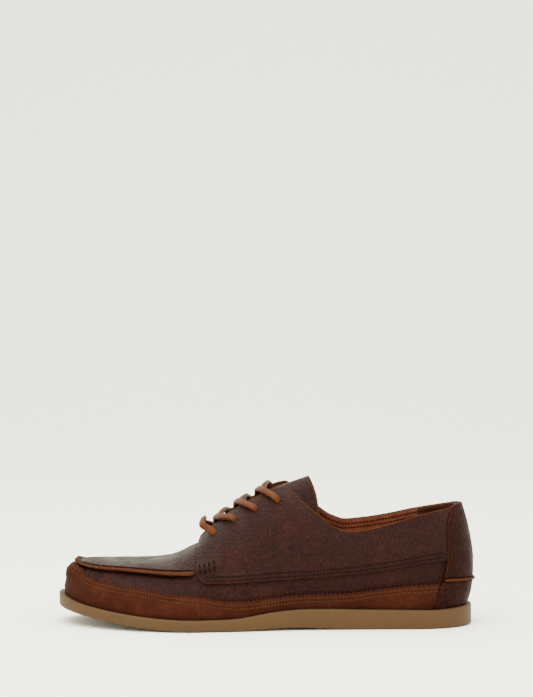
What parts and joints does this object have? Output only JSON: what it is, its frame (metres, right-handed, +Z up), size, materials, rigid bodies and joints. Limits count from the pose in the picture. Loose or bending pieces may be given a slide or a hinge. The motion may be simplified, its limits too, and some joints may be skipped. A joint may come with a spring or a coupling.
{
  "type": "moccasin shoe",
  "caption": "Left laced moccasin shoe with a raised apron seam, pinked mudguard, heel strap and thin rubber sole; hollow upper, open at the collar.",
  "frame": {"origin": "centre of the bounding box's base, on the floor plane under the sole", "axes": "+X towards the toe, +Y towards the shoe's outer side, +Z up"},
  "size_m": [0.3032, 0.1096, 0.1068],
  "materials": {
    "gum_rubber": "matte gum, tan",
    "footbed_leather": "smooth, tan",
    "dark_leather": "pebbled, semi-matte, dark red-brown",
    "rust_leather": "soft nap, matte, rust",
    "lace_leather": "flat rawhide, satin, orange-tan"
  },
  "bodies": {
    "root": {"apron": "dark_leather", "heel_foxing": "dark_leather", "heel_lip": "dark_leather", "heel_strap": "dark_leather", "insole": "footbed_leather", "lace_bar": "lace_leather", "lace_cross_1": "lace_leather", "lace_cross_2": "lace_leather", "lace_cross_3": "lace_leather", "moc_seam": "dark_leather", "mudguard_inner": "rust_leather", "mudguard_outer": "rust_leather", "mudguard_toe": "rust_leather", "outsole": "gum_rubber", "quarter_inner": "dark_leather", "quarter_outer": "dark_leather", "tongue": "dark_leather", "upper": "dark_leather"}
  },
  "joints": []
}
